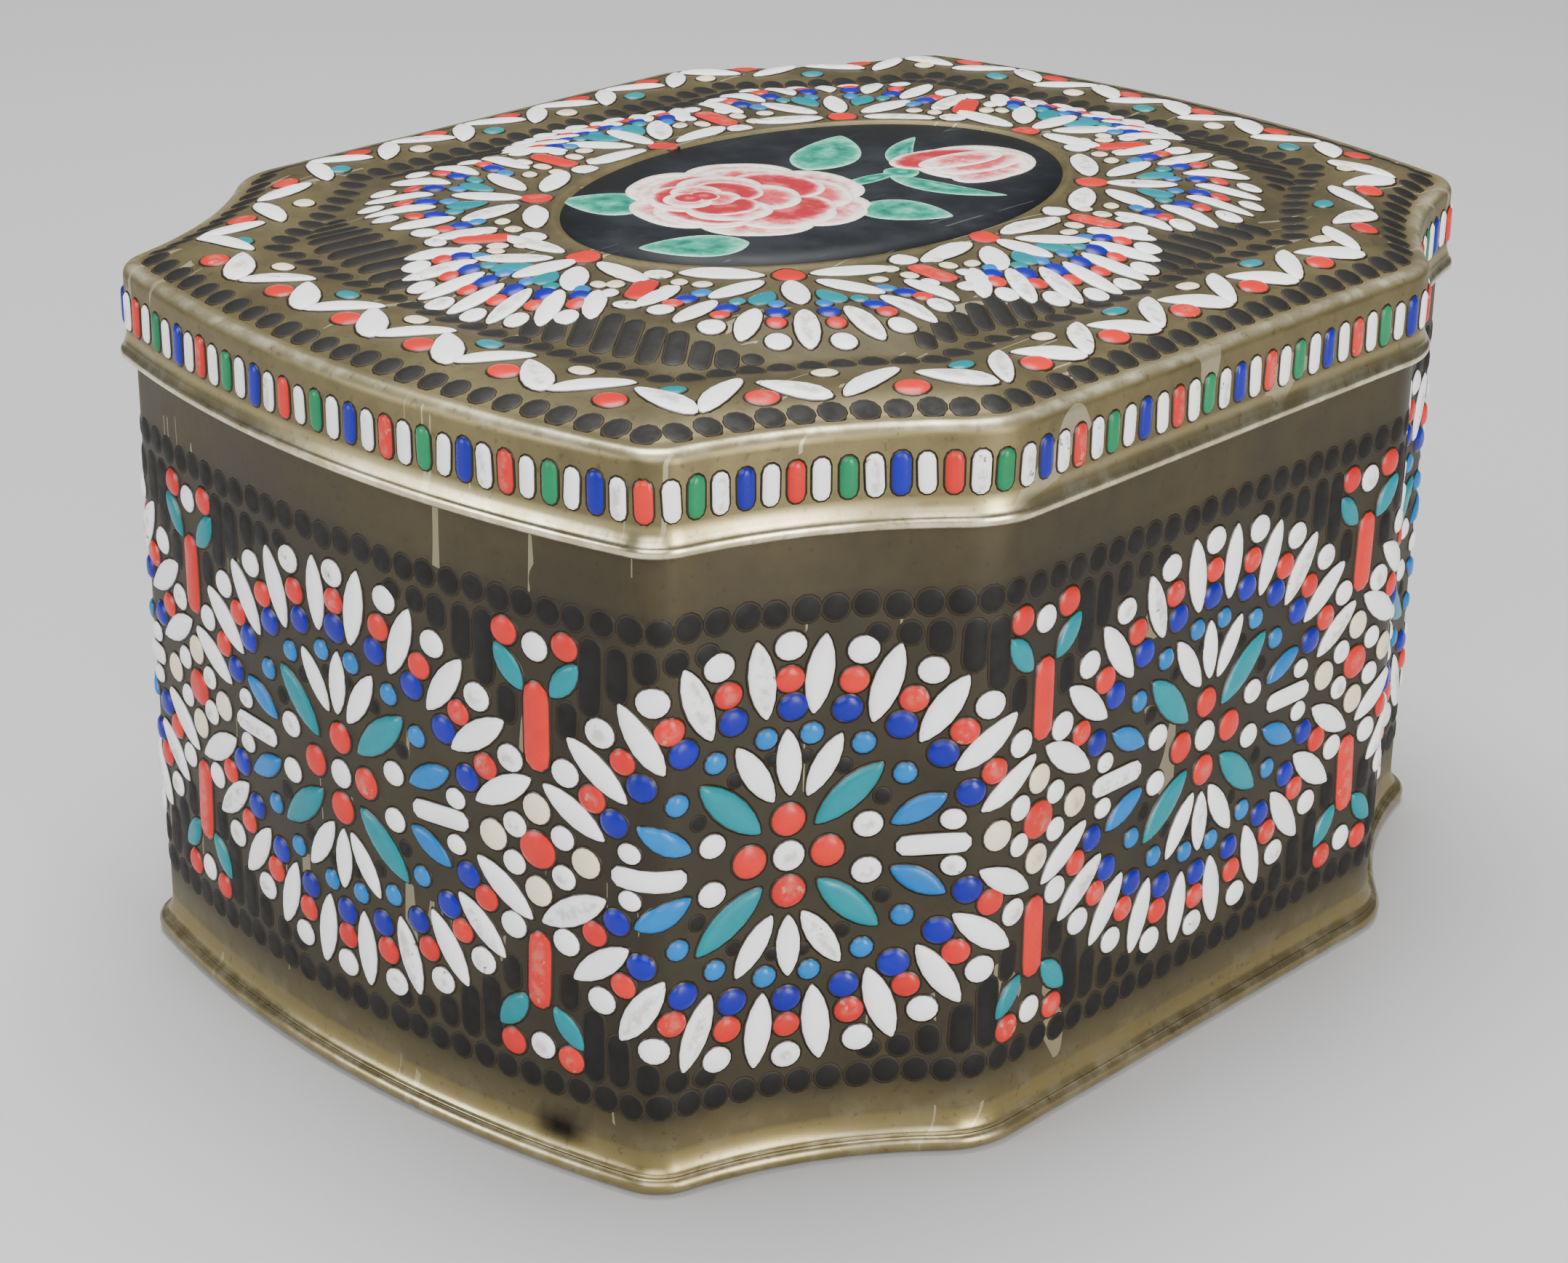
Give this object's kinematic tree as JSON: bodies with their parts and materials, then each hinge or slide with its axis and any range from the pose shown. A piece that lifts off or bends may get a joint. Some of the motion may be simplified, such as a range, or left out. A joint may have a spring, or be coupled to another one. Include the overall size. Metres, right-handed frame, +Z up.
{
  "type": "decorative tin box",
  "caption": "Gilt tin box with hollowed corners and bowed ends, embossed mosaic medallions and a lift-off lid with a painted oval panel.",
  "frame": {"origin": "middle of the underside, in the plane that the foot bead rests on", "axes": "+Z up, X between the two straight sides, Y along the box between the two bowed ends"},
  "size_m": [0.1354, 0.165, 0.0953],
  "materials": {
    "gilt_tin": "dark bronze-gold lacquer over tinplate, satin, with bright worn edges",
    "gilt_lid": "olive-gold lacquer over tinplate, satin, rubbed bright at the shoulder and bead",
    "plain_tin": "gold-washed tinplate, lightly scuffed",
    "white_enamel": "glossy white enamel on raised beads",
    "coral_enamel": "glossy coral-red enamel on raised beads",
    "blue_enamel": "glossy royal-blue enamel on raised beads",
    "azure_enamel": "glossy azure and teal enamel on raised beads",
    "green_enamel": "glossy green enamel on raised beads and painted leaves",
    "cream_enamel": "glossy cream enamel on raised beads",
    "black_enamel": "satin brown-black enamel on raised beads and the oval panel",
    "rose_paint": "satin pink and cream flower painting"
  },
  "bodies": {
    "root": {"box_wall": "gilt_tin", "base_plate": "plain_tin", "lid": "gilt_lid"}
  },
  "joints": []
}
